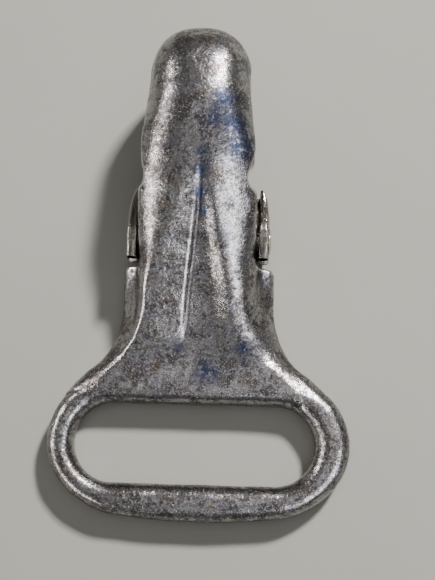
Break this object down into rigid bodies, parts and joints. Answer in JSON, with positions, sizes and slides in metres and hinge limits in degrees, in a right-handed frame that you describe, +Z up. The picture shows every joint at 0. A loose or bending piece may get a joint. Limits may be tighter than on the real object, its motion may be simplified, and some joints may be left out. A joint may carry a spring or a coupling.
{
  "type": "strap snap hook",
  "caption": "Small cast-metal strap snap hook: a flat strap loop, a grooved shank that curls over into a round nose, and a spring-shut gate on a cross rivet closing the mouth.",
  "frame": {"origin": "middle of the bounding box in X and Y, on the surface that the hook lies on", "axes": "+Z up out of the front face, +Y from the strap loop towards the rounded tip, +X across the hook along the gate's pivot"},
  "size_m": [0.0296, 0.0482, 0.014],
  "materials": {
    "worn_casting": "nickel-plated steel casting, tarnished grey-brown, pitted, with bright worn ridges",
    "dark_sheet": "pressed sheet steel, dark brown tarnish, edges rubbed bright",
    "bright_rivet": "soft steel rivet, peened heads rubbed bright",
    "spring_wire": "dark drawn spring wire"
  },
  "bodies": {
    "frame": {"hook_body": "worn_casting", "pivot_rivet": "bright_rivet", "gate_spring": "spring_wire"},
    "gate": {"gate": "dark_sheet"}
  },
  "joints": [
    {"name": "gate_hinge", "type": "hinge", "parent": "frame", "child": "gate", "pos_m": [-0.0004, 0.0033, 0.0046], "axis": [1, 0, 0], "range_deg": [0, 26], "stiffness_Nm_per_rad": 0.02, "springref_deg": -28.65, "deforming": ["gate_spring"]}
  ]
}
